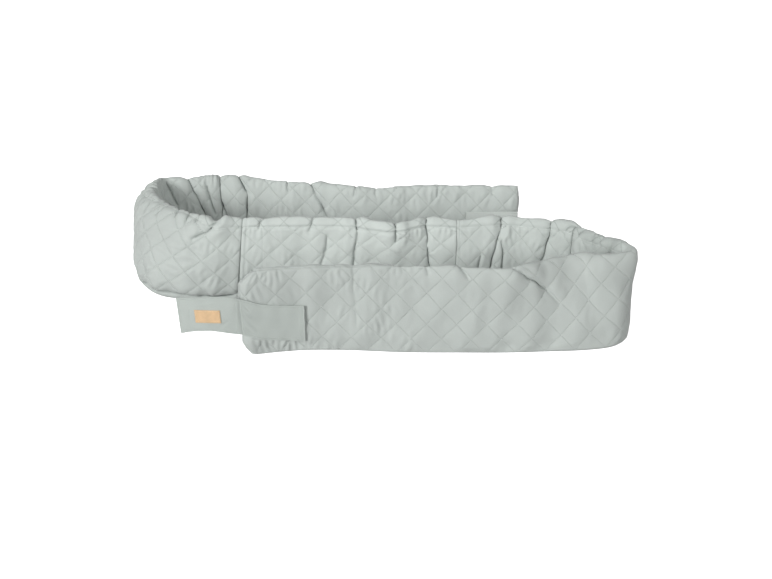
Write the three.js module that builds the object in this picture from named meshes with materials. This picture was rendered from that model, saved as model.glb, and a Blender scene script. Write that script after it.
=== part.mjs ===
// Baby nest: one long stuffed and quilted cloth wall that stands on its long edge and lies in an S.
// Side A of the wall faces the front on the back run and the front run. Side B faces the front on
// the middle run. A closure strap is sewn on the front end, and the patch that it closes on is sewn
// on the back end. Millimetres, +Z up, origin on the surface at the middle of the footprint.
import * as THREE from 'three';

// ---------------------------------------------------------------- driving dimensions

const WALL_HEIGHT = 250;
const QUILT_DIAGONAL = WALL_HEIGHT / 3;    // each quilted diamond, corner to corner, up the wall
const CELLS_PER_DIAMOND = 4;               // cells of the skin across one diamond
const CELL = QUILT_DIAGONAL / CELLS_PER_DIAMOND;
const CELLS_UP = 12;                       // cells in the wall's height
const LOWEST_ROW = 0.12;                   // share of the height of the row next to the foot
const HIGHEST_ROW = 0.935;                 // and of the row next to the crest
const MIDDLE_ROWS = [3, 4, 5, 6, 7, 8, 9, 10].map((cell) => cell / CELLS_UP);
const ROW_SHARES = [0, LOWEST_ROW, ...MIDDLE_ROWS, HIGHEST_ROW, 1];
const FOOT_HALF = 10;                      // half width of the flat foot that the wall stands on
const CROWN_POWER = 5;                     // higher makes the filled section blunter
const PUFF = 3.5;                          // how far a diamond stands above its stitch lines
const SEAM_GAP = 0.3;                      // clear space between two panels at a seam
const SEAM_DRAW = 5;                       // how far a seam draws the faces in
const SEAM_REACH = 14;                     // how far from the seam that is felt
const FREE_END_SHARE = 0.55;               // thickness left at a free end
const FREE_END_REACH = 30;                 // how far from a free end the face begins to round off
const ORIGIN_X = -62.07;                   // middle of the footprint in the stations' own frame
const ORIGIN_Y = 37.04;

const CLOTH = { color: 0xbcc4bf, roughness: 0.85, metalness: 0 };
const STRAP_CLOTH = { color: 0xb7bfba, roughness: 0.8, metalness: 0 };
const LEATHER = { color: 0xdcbb8c, roughness: 0.6, metalness: 0 };

// ---------------------------------------------------------------- the wall's path

// One row for each station along the wall, from the back run's free end to the front run's.
// footX, footY: middle of the wall on the surface. leanX, leanY: how far the crest stands off the
// foot. crestZ: height of the crest. bow: how far the middle of the height stands out on side A.
// half: half of the filled thickness.
const FOOT_X = 1;
const FOOT_Y = 2;
const LEAN_X = 3;
const LEAN_Y = 4;
const CREST_Z = 5;
const BOW = 6;
const HALF = 7;
const STATIONS = [
  // name,         footX, footY, leanX, leanY, crestZ, bow, half
  ['back end',       430,   330,     2,    -6,    250,   0,   18],
  ['back 1',         290,   336,     0,   -10,    250,   0,   18],
  ['back 2',         100,   334,     3,    -6,    247,   0,   19],
  ['back dip',       -60,   336,    -2,   -14,    244,   0,   19],
  ['back 3',        -165,   348,     0,    -4,    247,   0,   19],
  ['back 4',        -310,   368,     0,    -2,    250,   0,   19],
  ['back 5',        -450,   396,     0,     4,    253,   0,   19],
  ['back seam',     -548,   404,    -2,     6,    254,   0,   19],
  ['bend 1',        -660,   402,     0,    -2,    252,  -4,   20],
  ['back corner',   -756,   366,     8,    10,    256,  -8,   22],
  ['left end',      -795,   280,    15,     0,    252,  -4,   24],
  ['bend 2',        -786,   190,    40,    14,    250,  -8,   25],
  ['left corner',   -748,   106,    54,    32,    248, -12,   24],
  ['bend 3',        -680,    34,    62,    40,    248, -10,   22],
  ['bend 4',        -580,    12,    45,    22,    243,  -6,   20],
  ['middle seam',   -452,    14,    26,    30,    248,  -4,   19],
  ['middle 1',      -300,    38,     0,     8,    250,   0,   19],
  ['middle 2',      -110,    42,     0,     2,    250,   0,   19],
  ['middle dip',      20,    40,     2,   -28,    246,   0,   19],
  ['middle 3',       118,    44,     1,     4,    250,   0,   19],
  ['right seam',     211,    44,     0,    -2,    248,   0,   19],
  ['front 1',        350,    44,     0,    14,    250,   0,   19],
  ['front 2',        455,    36,     2,     0,    249,   0,   19],
  ['front 3',        552,     2,   -12,     0,    251,   0,   20],
  ['front 4',        621,   -66,   -20,    -8,    248,   0,   22],
  ['right corner',   665,  -143,    -3,   -12,    254,  -5,   21],
  ['right end',      673,  -222,     2,    14,    252,  -8,   20],
  ['front 5',        627,  -282,   -26,    54,    246,   0,   20],
  ['front 6',        548,  -304,   -18,    80,    250,   6,   18],
  ['twist',          440,  -312,   -10,    50,    250,   4,   18],
  ['front 7',        330,  -318,     0,     6,    248,   0,   18],
  ['front 8',        200,  -318,     0,     8,    250,   0,   18],
  ['front 9',         50,  -316,     0,    14,    250,   0,   18],
  ['front 10',      -110,  -304,     0,     4,    250,   0,   18],
  ['front 11',      -240,  -306,     0,     0,    250,   0,   18],
  ['front end',     -385,  -334,   -11,    16,    246,   0,   18],
];

// Distance of each station along the wall, measured on the chords half way up.
const MARKS = STATIONS.reduce((marks, row, index) => {
  if (index === 0) return [0];
  const before = STATIONS[index - 1];
  const dx = row[FOOT_X] + row[LEAN_X] / 2 - before[FOOT_X] - before[LEAN_X] / 2;
  const dy = row[FOOT_Y] + row[LEAN_Y] / 2 - before[FOOT_Y] - before[LEAN_Y] / 2;
  return [...marks, marks[index - 1] + Math.hypot(dx, dy)];
}, []);

// How the crest curls over in the left bend: distance along the wall, then how far the crest goes in
// x, y and z, and by how much side A of the filled section is thicker.
const CURL_X = 1;
const CURL_Y = 2;
const CURL_Z = 3;
const CURL_THICKER = 4;
const CURLS = [
  // at,  x,  y, z, thicker
  [1150,  0,  0, 0,  0],
  [1195,  6,  0, 0,  6],
  [1240, 24, -2, 0, 14],
  [1300, 40, -2, 0, 20],
  [1360, 34, -4, 0, 20],
  [1420, 30,  0, 0, 14],
  [1480, 18,  6, 6, 10],
  [1540,  8, 14, 8,  8],
  [1600,  4, 20, 8,  6],
  [1645,  2, 18, 8,  4],
  [1690,  0,  0, 0,  0],
  [1730,  0,  6, 8,  0],
  [1785,  0,  0, 0,  0],
];
const CURL_POWER = 9;                      // higher keeps the curl nearer the crest

// A column of CURLS at a distance along the wall.
function curl(column, distance) {
  const next = CURLS.findIndex((row) => row[0] > distance);
  if (next < 1) return 0;
  const [before, after] = [CURLS[next - 1], CURLS[next]];
  const share = (distance - before[0]) / (after[0] - before[0]);
  return before[column] + (after[column] - before[column]) * share;
}

function markOf(name) {
  return MARKS[STATIONS.findIndex((row) => row[0] === name)];
}

// Slope of a column at a station, from its neighbours.
function slope(column, index) {
  const before = Math.max(index - 1, 0);
  const after = Math.min(index + 1, STATIONS.length - 1);
  return (STATIONS[after][column] - STATIONS[before][column]) / (MARKS[after] - MARKS[before]);
}

// Smooth value of a column at a distance along the wall. Past an end it goes on along the tangent.
function along(column, distance) {
  const last = STATIONS.length - 1;
  if (distance > MARKS[last]) {
    return STATIONS[last][column] + slope(column, last) * (distance - MARKS[last]);
  }
  let index = 0;
  while (index < last - 1 && distance >= MARKS[index + 1]) index += 1;
  const span = MARKS[index + 1] - MARKS[index];
  const share = (distance - MARKS[index]) / span;
  const square = share * share;
  const cube = square * share;
  return (2 * cube - 3 * square + 1) * STATIONS[index][column]
    + (cube - 2 * square + share) * span * slope(column, index)
    + (3 * square - 2 * cube) * STATIONS[index + 1][column]
    + (cube - square) * span * slope(column, index + 1);
}

// Point on the wall's straight mid-surface, before it bows. share is 0 at the foot, 1 at the crest.
function flatMiddle(distance, share) {
  return new THREE.Vector3(
    along(FOOT_X, distance) + along(LEAN_X, distance) * share,
    along(FOOT_Y, distance) + along(LEAN_Y, distance) * share,
    along(CREST_Z, distance) * share,
  );
}

// Direction out of side A.
function outOfA(distance, share) {
  const reach = 1;
  const onward = flatMiddle(distance + reach, share).sub(flatMiddle(distance - reach, share));
  const upward = flatMiddle(distance, 1).sub(flatMiddle(distance, 0));
  return upward.cross(onward).normalize();
}

// ---------------------------------------------------------------- the wall's two faces

const A = 1;
const B = -1;

// Main creases: side, then distance along the wall and share of the height at each end of the
// crease, how deep it sinks, half its width, and how far it notches the crest.
const CREASES = [
  // side, from, share,  to, share, depth, width, notch
  [A,   87, 1.00,   84, 0.90,  5, 12, 3],
  [A,  264, 1.00,  264, 0.88,  5, 12, 3],
  [A,  528, 1.00,  530, 0.90,  6, 14, 4],
  [A,  684, 1.00,  622, 0.56, 10, 15, 4],
  [A,  756, 1.00,  750, 0.88,  5, 12, 3],
  [A,  930, 1.00,  894, 0.78, 11, 15, 3],
  [A,  894, 0.78,  906, 0.30, 11, 15, 0],
  [A, 1032, 0.90, 1000, 0.40, 10, 14, 0],
  [A, 1096, 1.00, 1034, 0.36, 12, 16, 3],
  [A, 1140, 0.95, 1100, 0.36, 11, 15, 0],
  [A, 1222, 0.90, 1226, 0.25,  9, 18, 0],
  [A, 1424, 0.85, 1420, 0.20,  9, 18, 0],
  [B, 1722, 1.02, 1666, 0.89, 17, 18, 9],
  [B, 1666, 0.89, 1608, 0.74,  5, 14, 0],
  [B, 1848, 1.00, 1833, 0.88,  5, 12, 3],
  [B, 2007, 1.00, 1991, 0.86,  5, 12, 3],
  [B, 2044, 0.78, 2024, 0.30,  6, 13, 0],
  [B, 2127, 1.00, 2138, 0.86,  9, 14, 4],
  [B, 2138, 0.86, 2118, 0.28,  9, 14, 0],
  [B, 2241, 1.00, 2246, 0.74,  9, 14, 5],
  [B, 2339, 1.00, 2346, 0.66, 10, 14, 3],
  [B, 2346, 0.66, 2360, 0.28, 10, 14, 0],
  [B, 2508, 0.52, 2494, 0.22,  7, 12, 0],
  [B, 2574, 1.00, 2530, 0.26, 12, 15, 4],
  [B, 2574, 0.70, 2577, 0.26,  6, 12, 0],
  [B, 2719, 1.00, 2690, 0.30, 13, 16, 4],
  [B, 2808, 1.00, 2787, 0.55, 11, 15, 4],
  [B, 2936, 0.95, 2930, 0.15,  9, 18, 0],
  [B, 3108, 0.80, 3116, 0.15,  9, 18, 0],
  [A, 3398, 1.00, 3262, 0.54, 11, 15, 3],
  [A, 3532, 1.00, 3509, 0.87,  5, 12, 3],
  [A, 3621, 1.00, 3615, 0.90,  4, 12, 3],
  [A, 3815, 0.95, 3806, 0.30,  4, 14, 2],
];

// How far the creases sink the given side at a place on the wall.
function creaseDepth(side, distance, share) {
  let depth = 0;
  for (const [creaseSide, from, fromShare, to, toShare, deep, width] of CREASES) {
    if (creaseSide !== side) continue;
    const alongX = to - from;
    const alongZ = (toShare - fromShare) * WALL_HEIGHT;
    const x = distance - from;
    const z = (share - fromShare) * WALL_HEIGHT;
    const rawPart = (x * alongX + z * alongZ) / (alongX * alongX + alongZ * alongZ);
    const part = THREE.MathUtils.clamp(rawPart, 0, 1);
    const away = Math.hypot(x - alongX * part, z - alongZ * part);
    depth += deep * Math.exp(-((away / width) ** 2));
  }
  return depth;
}

// How far the creases that reach the crest notch it.
function crestNotch(distance) {
  let notch = 0;
  for (const [, from, , , , , width, deep] of CREASES) {
    notch += deep * Math.exp(-(((distance - from) / width) ** 2));
  }
  return notch;
}

// 1 in the middle of a diamond and 0 along its stitch lines. column counts cells along the panel.
function quilt(column, share) {
  const row = (share * WALL_HEIGHT) / CELL;
  const rising = Math.sin((Math.PI * (column + row)) / CELLS_PER_DIAMOND);
  const falling = Math.sin((Math.PI * (column - row)) / CELLS_PER_DIAMOND);
  return Math.abs(rising * falling);
}

// Half of the filled thickness before quilting: a crown, rounded off at the free ends.
function crown(side, distance, share) {
  const blunt = Math.sqrt(1 - Math.abs(2 * share - 1) ** CROWN_POWER);
  const fromEnd = Math.min(distance, MARKS.at(-1) - distance);
  const shortfall = THREE.MathUtils.clamp(1 - fromEnd / FREE_END_REACH, 0, 1);
  const endShare = 1 - (1 - FREE_END_SHARE) * shortfall ** 2;
  const thicker = side === A ? curl(CURL_THICKER, distance) : 0;
  return (along(HALF, distance) + thicker) * blunt * endShare;
}

// Point of the wall's mid-surface, bowed and notched.
function middle(distance, share) {
  const point = flatMiddle(distance, share);
  point.addScaledVector(outOfA(distance, share), along(BOW, distance) * 4 * share * (1 - share));
  point.z -= crestNotch(distance) * share ** 4;
  const over = new THREE.Vector3(...[CURL_X, CURL_Y, CURL_Z].map((column) => curl(column, distance)));
  return point.addScaledVector(over, share ** CURL_POWER);
}

// Point off the mid-surface of the wall by a given amount on one side.
function offMiddle(side, distance, share, amount) {
  return middle(distance, share).addScaledVector(outOfA(distance, share), side * amount);
}

// ---------------------------------------------------------------- quilted panels

// fromCut and toCut: how far the free end's top and bottom corners are cut back.
const PANELS = [
  { name: 'back_panel', from: 'back end', to: 'back seam', fromCut: 6, toCut: 0 },
  { name: 'left_bend_panel', from: 'back seam', to: 'middle seam', fromCut: 0, toCut: 0 },
  { name: 'middle_panel', from: 'middle seam', to: 'right seam', fromCut: 0, toCut: 0 },
  { name: 'front_panel', from: 'right seam', to: 'front end', fromCut: 0, toCut: 38 },
];
const CORNER_HEIGHT = 0.16;                // share of the height that a cut corner takes
const CORNER_REACH = 80;                   // length of wall that gives way to a cut corner

// How far a corner is cut back at a share of the height; the bottom corner is cut half as far.
function cornerCut(cut, share) {
  const top = THREE.MathUtils.clamp((share - 1 + CORNER_HEIGHT) / CORNER_HEIGHT, 0, 1);
  const bottom = THREE.MathUtils.clamp((CORNER_HEIGHT - share) / CORNER_HEIGHT, 0, 1);
  return cut * (top + bottom / 2);
}

// One ring of the panel's skin: up side A, over the crest and down side B.
// column counts cells from the panel's start. fromStart and fromEnd are distances to its ends.
function panelRing(panel, column, distance, fromStart, fromEnd) {
  const startSeam = panel.fromCut ? Infinity : fromStart;
  const endSeam = panel.toCut ? Infinity : fromEnd;
  const seamAway = Math.min(startSeam, endSeam);
  const draw = SEAM_DRAW * Math.exp(-((seamAway / SEAM_REACH) ** 2));
  const skin = (side, share) => {
    const back = cornerCut(panel.toCut, share) * Math.max(0, 1 - fromEnd / CORNER_REACH);
    const forth = cornerCut(panel.fromCut, share) * Math.max(0, 1 - fromStart / CORNER_REACH);
    const place = distance - back + forth;
    if (share === 1) return middle(place, share);
    if (share === 0) return offMiddle(side, place, share, FOOT_HALF).setZ(0);
    const sunk = PUFF * (1 - quilt(column, share)) + creaseDepth(side, place, share) + draw;
    const amount = Math.max(crown(side, place, share) - sunk, FOOT_HALF * share);
    return offMiddle(side, place, share, amount);
  };
  const rowsUp = ROW_SHARES.map((share) => skin(A, share));
  const rowsDown = ROW_SHARES.slice(0, -1).map((share) => skin(B, share)).reverse();
  return [...rowsUp, ...rowsDown];
}

// Closed solid from equal rings: a skin between them and a cap of strips on each end.
// The skin's cells are split along alternate diagonals, so that the quilting's lines are edges.
function solidFromRings(rings) {
  const size = rings[0].length;
  const positions = rings.flat().flatMap((point) => point.toArray());
  const faces = [];
  for (let r = 0; r < rings.length - 1; r += 1) {
    for (let i = 0; i < size; i += 1) {
      const next = (i + 1) % size;
      const a = r * size + i;
      const b = r * size + next;
      if ((r + i) % 2 === 0) faces.push(a, b, a + size, b, b + size, a + size);
      else faces.push(a, b, b + size, a, b + size, a + size);
    }
  }
  const lastRing = (rings.length - 1) * size;
  for (let i = 0; i < Math.floor((size - 1) / 2); i += 1) {
    const left = i;
    const leftUp = i + 1;
    const right = size - 1 - i;
    const rightUp = size - 2 - i;
    faces.push(left, right, leftUp);
    faces.push(lastRing + left, lastRing + leftUp, lastRing + right);
    if (leftUp === rightUp) continue;
    faces.push(leftUp, right, rightUp);
    faces.push(lastRing + leftUp, lastRing + rightUp, lastRing + right);
  }
  const geometry = new THREE.BufferGeometry();
  geometry.setAttribute('position', new THREE.Float32BufferAttribute(positions, 3));
  geometry.setIndex(faces);
  geometry.computeVertexNormals();
  return geometry;
}

function makePanel(panel) {
  const start = markOf(panel.from) + (panel.fromCut ? 0 : SEAM_GAP / 2);
  const end = markOf(panel.to) - (panel.toCut ? 0 : SEAM_GAP / 2);
  const columns = Math.round((end - start) / CELL);
  const rings = [];
  for (let column = 0; column <= columns; column += 1) {
    const fromStart = ((end - start) * column) / columns;
    const fromEnd = end - start - fromStart;
    rings.push(panelRing(panel, column, start + fromStart, fromStart, fromEnd));
  }
  return solidFromRings(rings);
}

// ---------------------------------------------------------------- strap, patch and label

const SHEET_CLEAR = 0.4;                   // clear space between a sewn piece and the puffs under it
const SHEET_THICK = 2.5;
const STRAP_FREE = 166;                    // length that stands past the front panel
const STRAP_SWING = 40;                    // how far the free end swings back
const LABEL_THICK = 1.6;
const LABEL_CLEAR = 0.6;

// One row for each column of a sewn piece's points: distance past the panel's end, and heights of
// the lower and the upper edge. The strap's lower edge is hollow where it stands free.
const PAST = 0;
const LOW = 1;
const HIGH = 2;
const STRAP_OUTLINE = [
  // past, low, high
  [-172, 32, 141],
  [-140, 35.5, 142.5],
  [-107, 39, 144.5],
  [-67, 45, 149.5],
  [-43, 49.5, 156],
  [-19, 60, 166],
  [0, 67, 172],
  [26, 71, 178],
  [53, 76, 179],
  [87, 80, 178],
  [121, 78, 176],
  [145, 75, 174.5],
  [STRAP_FREE, 69, 172],
];
const PATCH_OUTLINE = [
  // past, low, high
  [4, 58, 167],
  [45, 58, 167],
  [87, 58, 167],
  [128, 58, 167],
  [170, 58, 167],
];
const LABEL_OUTLINE = [
  // past, low, high
  [53, 104, 141],
  [87, 104, 141],
  [121, 104, 141],
];

// Point of a sheet's inner face, which follows side A of the wall at a clear distance.
// Past the wall's front end it goes on straight and swings back.
function sheetPoint(distance, height, amount) {
  const wallEnd = MARKS.at(-1);
  const share = height / WALL_HEIGHT;
  const past = Math.max(0, distance - wallEnd);
  const inside = THREE.MathUtils.clamp(distance, FREE_END_REACH, wallEnd - FREE_END_REACH);
  const swing = STRAP_SWING * (past / STRAP_FREE) ** 2;
  return offMiddle(A, distance, share, crown(A, inside, share) + amount - swing);
}

// Closed sheet with a given outline past a panel's end, made of rings around its section.
function makeSheet(outline, panelEnd, clear, thick, rows) {
  const rings = outline.map((column) => {
    const distance = panelEnd + column[PAST];
    const heights = [];
    for (let row = 0; row <= rows; row += 1) {
      heights.push(column[LOW] + ((column[HIGH] - column[LOW]) * row) / rows);
    }
    const outer = heights.map((height) => sheetPoint(distance, height, clear + thick));
    const inner = heights.map((height) => sheetPoint(distance, height, clear)).reverse();
    return [...outer, ...inner];
  });
  return solidFromRings(rings);
}

const BACK_END = 0;
const FRONT_END = MARKS.at(-1);
const ON_STRAP = SHEET_CLEAR + SHEET_THICK + LABEL_CLEAR;
const SHEET_ROWS = 4;
const LABEL_ROWS = 2;
const strap = makeSheet(STRAP_OUTLINE, FRONT_END, SHEET_CLEAR, SHEET_THICK, SHEET_ROWS);
const patch = makeSheet(PATCH_OUTLINE, BACK_END, SHEET_CLEAR, SHEET_THICK, SHEET_ROWS);
const label = makeSheet(LABEL_OUTLINE, FRONT_END, ON_STRAP, LABEL_THICK, LABEL_ROWS);

// ---------------------------------------------------------------- assembly

const nest = new THREE.Group();
nest.position.set(-ORIGIN_X, -ORIGIN_Y, 0);

function addPiece(name, geometry, finish) {
  const piece = new THREE.Mesh(geometry, new THREE.MeshStandardMaterial(finish));
  piece.name = name;
  nest.add(piece);
}

for (const panel of PANELS) addPiece(panel.name, makePanel(panel), CLOTH);
addPiece('closure_strap', strap, STRAP_CLOTH);
addPiece('closure_patch', patch, STRAP_CLOTH);
addPiece('label', label, LEATHER);

export default nest;
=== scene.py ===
"""The looks of the baby nest: quilted panels, seams, stitches, strap, patch and bare leather label.

The wall is worked out from the same stations and creases as the CAD part, in metres, on a fine grid of
cloth that a small cloth simulation then settles between its stitch lines.
"""

import math

import bpy
import numpy as np
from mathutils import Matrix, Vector


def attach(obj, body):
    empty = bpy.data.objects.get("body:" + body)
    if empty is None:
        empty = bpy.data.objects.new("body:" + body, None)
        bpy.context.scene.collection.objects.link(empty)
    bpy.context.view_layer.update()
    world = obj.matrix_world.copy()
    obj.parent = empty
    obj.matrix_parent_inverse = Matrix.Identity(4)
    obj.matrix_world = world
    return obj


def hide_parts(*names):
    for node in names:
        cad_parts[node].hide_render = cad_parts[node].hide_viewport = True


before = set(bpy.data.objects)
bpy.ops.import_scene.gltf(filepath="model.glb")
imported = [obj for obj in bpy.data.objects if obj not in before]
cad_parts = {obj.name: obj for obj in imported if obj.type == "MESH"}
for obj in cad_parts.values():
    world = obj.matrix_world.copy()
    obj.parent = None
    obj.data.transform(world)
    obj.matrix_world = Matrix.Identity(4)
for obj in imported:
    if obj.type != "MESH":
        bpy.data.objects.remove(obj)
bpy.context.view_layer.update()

# ---------------------------------------------------------------- driving dimensions, as in the CAD part

WALL_HEIGHT = 0.250
FOOT_HALF = 0.010            # half width of the flat foot
FOOT_SHARE = 0.12            # share of the height in which the foot widens to the full section
CROWN_POWER = 5
SEAM_GAP = 0.0003
ORIGIN = np.array([-0.06207, 0.03704, 0.0])   # middle of the footprint in the stations' own frame

FOOT_X, FOOT_Y, LEAN_X, LEAN_Y, CREST_Z, BOW, HALF = range(1, 8)
STATIONS = [
    # name,           footX,  footY,  leanX,  leanY, crestZ,  bow,   half
    ("back end",      0.430,  0.330,  0.002, -0.006,  0.250,  0.000,  0.018),
    ("back 1",        0.290,  0.336,  0.000, -0.010,  0.250,  0.000,  0.018),
    ("back 2",        0.100,  0.334,  0.003, -0.006,  0.247,  0.000,  0.019),
    ("back dip",     -0.060,  0.336, -0.002, -0.014,  0.244,  0.000,  0.019),
    ("back 3",       -0.165,  0.348,  0.000, -0.004,  0.247,  0.000,  0.019),
    ("back 4",       -0.310,  0.368,  0.000, -0.002,  0.250,  0.000,  0.019),
    ("back 5",       -0.450,  0.396,  0.000,  0.004,  0.253,  0.000,  0.019),
    ("back seam",    -0.548,  0.404, -0.002,  0.006,  0.254,  0.000,  0.019),
    ("bend 1",       -0.660,  0.402,  0.000, -0.002,  0.252, -0.004,  0.020),
    ("back corner",  -0.756,  0.366,  0.008,  0.010,  0.256, -0.008,  0.022),
    ("left end",     -0.795,  0.280,  0.015,  0.000,  0.252, -0.004,  0.024),
    ("bend 2",       -0.786,  0.190,  0.040,  0.014,  0.250, -0.008,  0.025),
    ("left corner",  -0.748,  0.106,  0.054,  0.032,  0.248, -0.012,  0.024),
    ("bend 3",       -0.680,  0.034,  0.062,  0.040,  0.248, -0.010,  0.022),
    ("bend 4",       -0.580,  0.012,  0.045,  0.022,  0.243, -0.006,  0.020),
    ("middle seam",  -0.452,  0.014,  0.026,  0.030,  0.248, -0.004,  0.019),
    ("middle 1",     -0.300,  0.038,  0.000,  0.008,  0.250,  0.000,  0.019),
    ("middle 2",     -0.110,  0.042,  0.000,  0.002,  0.250,  0.000,  0.019),
    ("middle dip",    0.020,  0.040,  0.002, -0.028,  0.246,  0.000,  0.019),
    ("middle 3",      0.118,  0.044,  0.001,  0.004,  0.250,  0.000,  0.019),
    ("right seam",    0.211,  0.044,  0.000, -0.002,  0.248,  0.000,  0.019),
    ("front 1",       0.350,  0.044,  0.000,  0.014,  0.250,  0.000,  0.019),
    ("front 2",       0.455,  0.036,  0.002,  0.000,  0.249,  0.000,  0.019),
    ("front 3",       0.552,  0.002, -0.012,  0.000,  0.251,  0.000,  0.020),
    ("front 4",       0.621, -0.066, -0.020, -0.008,  0.248,  0.000,  0.022),
    ("right corner",  0.665, -0.143, -0.003, -0.012,  0.254, -0.005,  0.021),
    ("right end",     0.673, -0.222,  0.002,  0.014,  0.252, -0.008,  0.020),
    ("front 5",       0.627, -0.282, -0.026,  0.054,  0.246,  0.000,  0.020),
    ("front 6",       0.548, -0.304, -0.018,  0.080,  0.250,  0.006,  0.018),
    ("twist",         0.440, -0.312, -0.010,  0.050,  0.250,  0.004,  0.018),
    ("front 7",       0.330, -0.318,  0.000,  0.006,  0.248,  0.000,  0.018),
    ("front 8",       0.200, -0.318,  0.000,  0.008,  0.250,  0.000,  0.018),
    ("front 9",       0.050, -0.316,  0.000,  0.014,  0.250,  0.000,  0.018),
    ("front 10",     -0.110, -0.304,  0.000,  0.004,  0.250,  0.000,  0.018),
    ("front 11",     -0.240, -0.306,  0.000,  0.000,  0.250,  0.000,  0.018),
    ("front end",    -0.385, -0.334, -0.011,  0.016,  0.246,  0.000,  0.018),
]
COLUMNS = np.array([[0.0, *row[1:]] for row in STATIONS])
HALF_WAY_UP = COLUMNS[:, FOOT_X : FOOT_Y + 1] + COLUMNS[:, LEAN_X : LEAN_Y + 1] / 2
CHORDS = np.linalg.norm(np.diff(HALF_WAY_UP, axis=0), axis=1)
MARKS = np.concatenate([[0.0], np.cumsum(CHORDS)])
WALL_END = float(MARKS[-1])
A = 1
B = -1


def mark_of(name):
    return float(MARKS[[row[0] for row in STATIONS].index(name)])


def along(column, distance):
    """Smooth value of a column at distances along the wall; it goes on straight past the end."""
    values = COLUMNS[:, column]
    last = len(values) - 1
    before = np.maximum(np.arange(last + 1) - 1, 0)
    after = np.minimum(np.arange(last + 1) + 1, last)
    slopes = (values[after] - values[before]) / (MARKS[after] - MARKS[before])
    distance = np.asarray(distance, float)
    inside = np.clip(distance, MARKS[0], WALL_END)
    index = np.clip(np.searchsorted(MARKS, inside, side="right") - 1, 0, last - 1)
    span = MARKS[index + 1] - MARKS[index]
    t = (inside - MARKS[index]) / span
    curve = (
        (2 * t**3 - 3 * t**2 + 1) * values[index]
        + (t**3 - 2 * t**2 + t) * span * slopes[index]
        + (3 * t**2 - 2 * t**3) * values[index + 1]
        + (t**3 - t**2) * span * slopes[index + 1]
    )
    return curve + slopes[last] * np.maximum(distance - WALL_END, 0)


def flat_middle(distance, share):
    """Point on the wall's straight mid-surface. share is 0 at the foot and 1 at the crest."""
    distance, share = np.broadcast_arrays(distance, share)
    return np.stack(
        [
            along(FOOT_X, distance) + along(LEAN_X, distance) * share,
            along(FOOT_Y, distance) + along(LEAN_Y, distance) * share,
            along(CREST_Z, distance) * share,
        ],
        axis=-1,
    )


def unit(vectors):
    return vectors / np.maximum(np.linalg.norm(vectors, axis=-1, keepdims=True), 1e-12)


def out_of_a(distance, share):
    """Direction out of side A of the wall."""
    reach = 0.001
    onward = flat_middle(distance + reach, share) - flat_middle(distance - reach, share)
    upward = flat_middle(distance, 1.0) - flat_middle(distance, 0.0)
    return unit(np.cross(np.broadcast_to(upward, onward.shape), onward))


# How the crest curls over in the left bend: distance along the wall, then how far the crest goes
# in x, y and z, and by how much side A of the filled section is thicker.
CURLS = np.array([
    (1.150, 0.000, 0.000, 0.000, 0.000),
    (1.195, 0.006, 0.000, 0.000, 0.006),
    (1.240, 0.024, -0.002, 0.000, 0.014),
    (1.300, 0.040, -0.002, 0.000, 0.020),
    (1.360, 0.034, -0.004, 0.000, 0.020),
    (1.420, 0.030, 0.000, 0.000, 0.014),
    (1.480, 0.018, 0.006, 0.006, 0.010),
    (1.540, 0.008, 0.014, 0.008, 0.008),
    (1.600, 0.004, 0.020, 0.008, 0.006),
    (1.645, 0.002, 0.018, 0.008, 0.004),
    (1.690, 0.000, 0.000, 0.000, 0.000),
    (1.730, 0.000, 0.006, 0.008, 0.000),
    (1.785, 0.000, 0.000, 0.000, 0.000),
])
CURL_POWER = 9               # higher keeps the curl nearer the crest
CURL_THICKER = 4
CURL_EVENED = np.array([-0.012, -0.006, 0.0, 0.006, 0.012])


def curl(distance, column):
    """A column of CURLS at distances along the wall, evened over a short length."""
    around = np.asarray(distance, float)[..., None] + CURL_EVENED
    return np.interp(around, CURLS[:, 0], CURLS[:, column]).mean(axis=-1)


def wall_point(side, distance, share, amount):
    """Point off the bowed mid-surface by an amount, on side 1 (A) or -1 (B), in the row frame."""
    bow = along(BOW, distance) * 4 * share * (1 - share)
    point = flat_middle(distance, share)
    over = np.stack([curl(distance, column) for column in (1, 2, 3)], -1)
    point = point + over * (share**CURL_POWER)[..., None]
    thicker = 1 + curl(distance, CURL_THICKER) / along(HALF, distance) * (side == A)
    return point + out_of_a(distance, share) * (bow + side * amount * thicker)[..., None] - ORIGIN


# ---------------------------------------------------------------- the wall's section

FREE_END_REACH = 0.028       # length in which a free end rounds off
FREE_END_SHARE = 0.2         # share of the thickness left at its closing seam


def section(distance, share):
    """Half of the filled thickness: a blunt crown that stands on its foot."""
    crown = along(HALF, distance) * np.sqrt(np.maximum(1 - np.abs(2 * share - 1) ** CROWN_POWER, 0))
    foot = FOOT_HALF * np.maximum(1 - share / FOOT_SHARE, 0)
    return np.hypot(crown, foot)


def end_share(from_end):
    """Share of the thickness left near a free end, which is round like a cushion's."""
    short = np.clip(1 - from_end / FREE_END_REACH, 0, 1)
    return np.sqrt(1 - short**2 * (1 - FREE_END_SHARE**2))


def even_shares(rows):
    """Shares of the height at equal steps of cloth from the foot to the crest."""
    fine = (1 - np.cos(np.linspace(0, math.pi, 2001))) / 2
    mean = float(COLUMNS[:, HALF].mean())
    crown = mean * np.sqrt(np.maximum(1 - np.abs(2 * fine - 1) ** CROWN_POWER, 0))
    outward = np.hypot(crown, FOOT_HALF * np.maximum(1 - fine / FOOT_SHARE, 0))
    steps = np.hypot(np.diff(outward), np.diff(fine) * WALL_HEIGHT)
    arc = np.concatenate([[0.0], np.cumsum(steps)])
    shares = np.interp(np.linspace(0, arc[-1], rows + 1), arc, fine)
    return shares, float(arc[-1])


CLOTH_UP = even_shares(10)[1]   # length of cloth from the foot to the crest


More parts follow.
